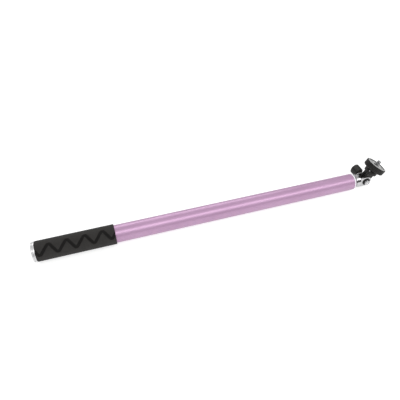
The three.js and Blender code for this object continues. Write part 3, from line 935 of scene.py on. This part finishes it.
def pin_place():
    turn = Matrix.Rotation(PIN_TURN, 4, "Z")
    lay = Matrix.Rotation(math.pi / 2, 4, "Y")
    return HEAD @ turn @ Matrix.Translation((0, 0, PIN_HEIGHT * MM)) @ lay


def tilt_fork():
    neck = [(FORK_R, HUB_BOTTOM + 1.5), (-FORK_R, HUB_BOTTOM + 1.5)]
    neck += arc_points(0, 0, FORK_R, 180, 360, 40)
    stand = HEAD @ Matrix.Rotation(math.pi / 2, 4, "X")
    obj = piece_from_bmesh("tilt_fork_fine", extruded(neck, -FORK_HALF, FORK_HALF), stand)
    hub = [
        (HUB_BOTTOM - 1.5, 0, 0),
        (HUB_BOTTOM - 1.5, 6.0, 0.5),
        (HUB_BOTTOM + 0.4, HUB_R - 0.6, 1.2),
        (HUB_BOTTOM + 2.8, HUB_R, 2.0),
        (HUB_BOTTOM + 5.2, HUB_R - 0.5, 1.5),
        (HUB_TOP, HUB_R - 2.2, 0.3),
        (HUB_TOP, 0, 0),
    ]
    carve(obj, "UNION", [turned("hub", hub, HEAD, sides=96)])
    slot = arc_points(0, FORK_SLOT_TOP - FORK_SLOT / 2, FORK_SLOT / 2, 0, 180, 16)
    slot += [(-FORK_SLOT / 2, -FORK_R - 1), (FORK_SLOT / 2, -FORK_R - 1)]
    along_x = HEAD @ Matrix.Rotation(math.pi / 2, 4, "Z") @ Matrix.Rotation(math.pi / 2, 4, "X")
    carve(obj, "DIFFERENCE", [piece_from_bmesh("slot", extruded(slot, -FORK_R - 1, FORK_R + 1), along_x)])
    soften_edges(obj, 0.35)
    holes = [
        turned("hole", rod(-FORK_HALF - 1, FORK_HALF + 1, BOLT_R + GAP), BOLT, sides=48),
        turned("hole", rod(STUD_BOTTOM - GAP, HUB_TOP + 1, STUD_R + GAP), HEAD, sides=48),
        turned("hole", rod(-PIN_BACK - GAP, HUB_R + 2, PIN_R + GAP), pin_place(), sides=24),
    ]
    carve(obj, "DIFFERENCE", holes)
    obj.data.set_sharp_from_angle(angle=math.radians(35))
    return finish_piece(obj, "head", "head_plastic", BLACK, "tilt_fork")


THREAD_PITCH = 1.27
THREAD_DEPTH = 0.55


def stud_screw():
    """Camera stud with a real helical thread above the wheel."""
    sides, step = 64, 0.08
    count = round((STUD_TOP - STUD_BOTTOM) / step)
    outline = [(STUD_BOTTOM, 0, 0)]
    for k in range(count + 1):
        outline.append((STUD_BOTTOM + (STUD_TOP - STUD_BOTTOM) * k / count, STUD_R, 0))
    outline.append((STUD_TOP, 0, 0))

    def threaded(angle, along, radius):
        phase = ((along - STUD_BOTTOM) / THREAD_PITCH - angle / TURN) % 1
        groove = THREAD_DEPTH * min(1, 1.25 * abs(2 * phase - 1))
        lead = max(0, along - (STUD_TOP - 0.8))
        return radius - max(groove, 0.9 * lead)

    obj = turned("stud_screw_fine", outline, HEAD, sides=sides, radius_at=threaded)
    hole = turned("hole", rod(-PIN_BACK, PIN_BACK, PIN_R + GAP), pin_place(), sides=24)
    carve(obj, "DIFFERENCE", [hole])
    obj.data.set_sharp_from_angle(angle=math.radians(50))
    return finish_piece(obj, "head", "steel", STEEL, "stud_screw")


def stud_pin():
    outline = [(-PIN_BACK, 0, 0), (-PIN_BACK, PIN_R, 0.3), (HUB_R - 0.1, PIN_R, 0.35), (HUB_R - 0.1, 0, 0)]
    obj = turned("stud_pin_fine", outline, pin_place(), sides=32)
    return finish_piece(obj, "head", "steel", PIN_STEEL, "stud_pin")


WHEEL_RIBS = 40
WHEEL_BORE = 3.5


def wheel_radius(angle, along, radius):
    """Fine grip ribs on the wheel's rim, fading out at its two edges."""
    if radius < WHEEL_R - 0.5 or along < WHEEL_BOTTOM + 1.6:
        return radius
    phase = (angle * WHEEL_RIBS / TURN) % 1
    groove = max(0, 1 - abs(2 * phase - 1) * 2.6)
    return radius - 0.45 * groove


def lock_wheel():
    outline = [
        (WHEEL_BOTTOM, WHEEL_BORE, 0),
        (WHEEL_BOTTOM, WHEEL_R - 1.1, 0.4),
        (WHEEL_BOTTOM + 1.1, WHEEL_R, 0.5),
        (WHEEL_BOTTOM + 2.0, WHEEL_R, 0),
        (WHEEL_TOP - 1.0, WHEEL_R, 0),
        (WHEEL_TOP, WHEEL_R, 0.7),
        (WHEEL_TOP, PAD_R + GAP, 0.15),
        (WHEEL_TOP - PAD_RECESS, PAD_R + GAP, 0),
        (WHEEL_TOP - PAD_RECESS, PAD_BORE - GAP, 0),
        (WHEEL_TOP - 0.6, PAD_BORE - GAP, 0.15),
        (WHEEL_TOP - 0.6, WHEEL_BORE, 0.15),
    ]
    sides = WHEEL_RIBS * 8
    obj = turned("lock_wheel_fine", outline, HEAD, sides=sides, closed=True, radius_at=wheel_radius)
    return finish_piece(obj, "wheel", "head_plastic", BLACK, "lock_wheel")


PAD_GROOVES = (10.6, 9.0, 7.4)  # outer radii of the grooves in the dished middle
PAD_WALL = 0.6  # width of the raised ring's inner edge, where shade is painted dark


def wheel_pad():
    """Pale rubber ring with a raised rim, whose inner edge and wall get painted shade, and grooves in its
    middle.
    """
    base = WHEEL_TOP - PAD_RECESS + GAP
    dish = PAD_TOP - PAD_DISH
    outline = [
        (base, PAD_BORE, 0),
        (base, PAD_R, 0),
        (PAD_TOP, PAD_R, 0.25),
        (PAD_TOP, PAD_RIM + PAD_WALL, 0),
        (PAD_TOP, PAD_RIM, 0.1),
        (dish, PAD_RIM, 0),
        (dish, PAD_RIM - 0.1, 0),
    ]
    for radius in PAD_GROOVES:
        outline += [(dish, radius, 0.08), (dish - 0.4, radius - 0.15, 0.05)]
        outline += [(dish - 0.4, radius - 0.5, 0.05), (dish, radius - 0.65, 0.08)]
    outline.append((dish, PAD_BORE, 0.2))
    obj = turned("wheel_pad_fine", outline, HEAD, sides=128, closed=True)
    # Marks the rim's inner edge and wall for the material's painted shade.
    rim_painted_shade = obj.data.attributes.new("rim_painted_shade", "FLOAT", "POINT")
    upright = HEAD.inverted()
    for vertex in obj.data.vertices:
        place = upright @ vertex.co / MM
        radius = math.hypot(place.x, place.y)
        inside = PAD_RIM - 0.05 < radius < PAD_RIM + PAD_WALL - 0.05 and place.z > dish - 0.05
        rim_painted_shade.data[vertex.index].value = 1.0 if inside else 0.0
    return finish_piece(obj, "wheel", "pad_rubber", PAD, "wheel_pad")


# ---------- carried-over CAD nodes ----------


def dress_inner_nodes():
    """The twist locks are inside the tubes and keep their CAD shape."""
    finishes = {
        "lock_cam": LOCK_BLACK,
        "lock_core": LOCK_BLACK,
        "lock_washer": STEEL,
        "lock_screw": STEEL,
    }
    for stage in ("mid", "inner"):
        for part, material in finishes.items():
            mesh = frame["nodes"][f"{stage}_{part}"].data
            mesh.materials.clear()
            mesh.materials.append(material)


# ---------- floor, light and camera ----------


FLOOR_GLOW = 0.64  # a lit table, so that only a faint shadow shows
FLOOR_HALF = 6  # metres
FLOOR_DROP = 0.0002
FLOOR_MIRRORED = 0.3  # its glow as shiny surfaces mirror it


def floor():
    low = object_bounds()[0].z
    shape = bmesh.new()
    bmesh.ops.create_grid(shape, x_segments=1, y_segments=1, size=FLOOR_HALF)
    mesh = bpy.data.meshes.new("floor")
    shape.to_mesh(mesh)
    shape.free()
    obj = bpy.data.objects.new("floor", mesh)
    bpy.context.scene.collection.objects.link(obj)
    obj.location.z = low - FLOOR_DROP
    m = Nodes("floor_paper")
    m.color(m.ramp(m.noise(3, detail=1), (0.3, (0.50, 0.50, 0.50)), (0.7, (0.52, 0.52, 0.52))))
    m.set(Roughness=0.9, Specular_IOR_Level=0.1)
    m.set(Emission_Color=(1, 1, 1, 1))
    mirrored = m.add("ShaderNodeLightPath").outputs["Is Glossy Ray"]
    glow = m.between(mirrored, FLOOR_GLOW, FLOOR_MIRRORED)
    m.link(glow, m.shader.inputs["Emission Strength"])
    mesh.materials.append(m.material)
    obj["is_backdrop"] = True


def area_light(name, place, target, width, depth, power):
    light = bpy.data.lights.new(name, "AREA")
    light.shape = "RECTANGLE"
    light.size, light.size_y = width, depth
    light.energy = power
    obj = bpy.data.objects.new(name, light)
    obj.location = place
    obj.rotation_euler = (Vector(target) - Vector(place)).to_track_quat("-Z", "Y").to_euler()
    bpy.context.scene.collection.objects.link(obj)


ROOM_LIGHT = 0.78
# What shiny surfaces mirror, from the horizon (0) to overhead (1): (sine of the height, grey)
ROOM_BANDS = [(0.0, 0.25), (0.2, 0.04), (0.4, 0.06), (0.52, 0.6), (0.75, 0.55), (1.0, 0.4)]


def lights():
    """A long softbox over the camera's shoulder, a weak one behind, and a room with a dark band."""
    front = {"place": (0.85, -0.84, 1.25), "target": (0.85, 0, 0)}
    back = {"place": (0.3, 1.4, 1.0), "target": (0.26, 0, 0)}
    area_light("softbox_front", **front, width=2.7, depth=0.5, power=15)
    area_light("softbox_back", **back, width=1.8, depth=0.6, power=9)
    world = bpy.data.worlds.new("studio")
    world.use_nodes = True
    tree = world.node_tree
    background = tree.nodes["Background"]
    direction = tree.nodes.new("ShaderNodeTexCoord").outputs["Generated"]
    split = tree.nodes.new("ShaderNodeSeparateXYZ")
    tree.links.new(direction, split.inputs["Vector"])
    room = tree.nodes.new("ShaderNodeValToRGB")
    elements = room.color_ramp.elements
    while len(elements) < len(ROOM_BANDS):
        elements.new(0.5)
    for element, (height, grey) in zip(elements, ROOM_BANDS):
        element.position = height
        element.color = (grey, grey, grey, 1)
    tree.links.new(split.outputs["Z"], room.inputs["Fac"])
    path = tree.nodes.new("ShaderNodeLightPath")
    mixed = tree.nodes.new("ShaderNodeMix")
    mixed.data_type = "RGBA"
    tree.links.new(path.outputs["Is Glossy Ray"], mixed.inputs[0])
    mixed.inputs[6].default_value = (ROOM_LIGHT, ROOM_LIGHT, ROOM_LIGHT, 1)
    tree.links.new(room.outputs["Color"], mixed.inputs[7])
    tree.links.new(mixed.outputs[2], background.inputs["Color"])
    bpy.context.scene.world = world


CAMERA_PLACE = Vector((0.1034, -0.4211, 0.4509))
CAMERA_YAW = math.radians(17.24)
CAMERA_PITCH = math.radians(43.65)
CAMERA_LENS = 39.09
SENSOR_WIDTH = 36


def camera():
    data = bpy.data.cameras.new("camera")
    data.sensor_width = SENSOR_WIDTH
    data.lens = CAMERA_LENS
    data.clip_start, data.clip_end = 0.01, 50
    obj = bpy.data.objects.new("camera", data)
    obj.location = CAMERA_PLACE
    level = math.cos(CAMERA_PITCH)
    ahead = (math.sin(CAMERA_YAW) * level, math.cos(CAMERA_YAW) * level, -math.sin(CAMERA_PITCH))
    obj.rotation_euler = Vector(ahead).to_track_quat("-Z", "Y").to_euler()
    bpy.context.scene.collection.objects.link(obj)
    bpy.context.scene.camera = obj


# ---------- the scene ----------

camera()
outer_tube()
grip()
end_cap()
end_ring()
guide_bush(
    "mouth_bush_fine", "mouth_bush", "handle", "white_plastic", WHITE,
    TUBE_END, BUSH_END, TUBE_R, MID_R,
)
guide_bush(
    "mid_bush_fine", "mid_bush", "mid_stage", "lock_plastic", LOCK_BLACK,
    MID_END, MID_BUSH_END, MID_R, INNER_R,
)
sliding_tube("mid_tube_fine", "mid_tube", "mid_stage", MID_START, MID_END, MID_R)
sliding_tube("inner_tube_fine", "inner_tube", "inner_stage", INNER_START, INNER_END, INNER_R)
head_collar()
collar_set_screw()
head_bracket()
bracket_screw()
hinge_bolt()
hinge_washer("near_washer_fine", "near_washer")
hinge_washer("far_washer_fine", "far_washer")
knob_spacer()
tilt_knob()
knob_insert()
tilt_fork()
stud_screw()
stud_pin()
lock_wheel()
wheel_pad()
dress_inner_nodes()
floor()
lights()

bpy.context.scene.view_settings.view_transform = "Standard"
